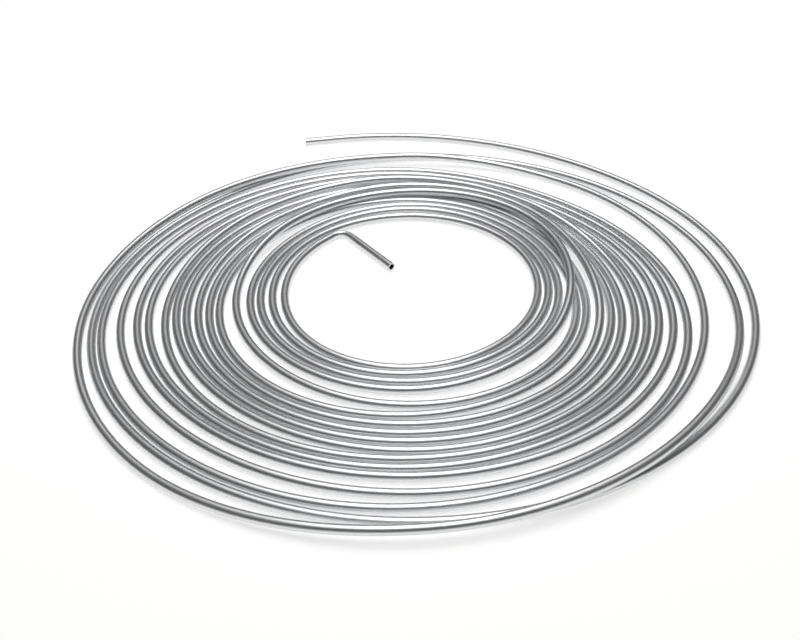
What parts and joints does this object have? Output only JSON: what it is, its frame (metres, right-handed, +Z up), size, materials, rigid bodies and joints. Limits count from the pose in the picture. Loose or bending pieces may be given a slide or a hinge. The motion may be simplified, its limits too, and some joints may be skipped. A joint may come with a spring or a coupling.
{
  "type": "coil of aluminium tubing",
  "caption": "Loose flat coil of 1/4 inch round aluminium tubing, about seventeen turns, with one free end resting on the outside and the other bent into the hole in the middle.",
  "frame": {"origin": "under the middle of the coil's own box, on the floor it lies on", "axes": "+Z up, +Y towards the back of the coil, where the free outer end lies"},
  "size_m": [0.483, 0.4916, 0.013],
  "materials": {
    "drawn_aluminium": "satin"
  },
  "bodies": {
    "root": {"tubing": "drawn_aluminium"}
  },
  "joints": []
}
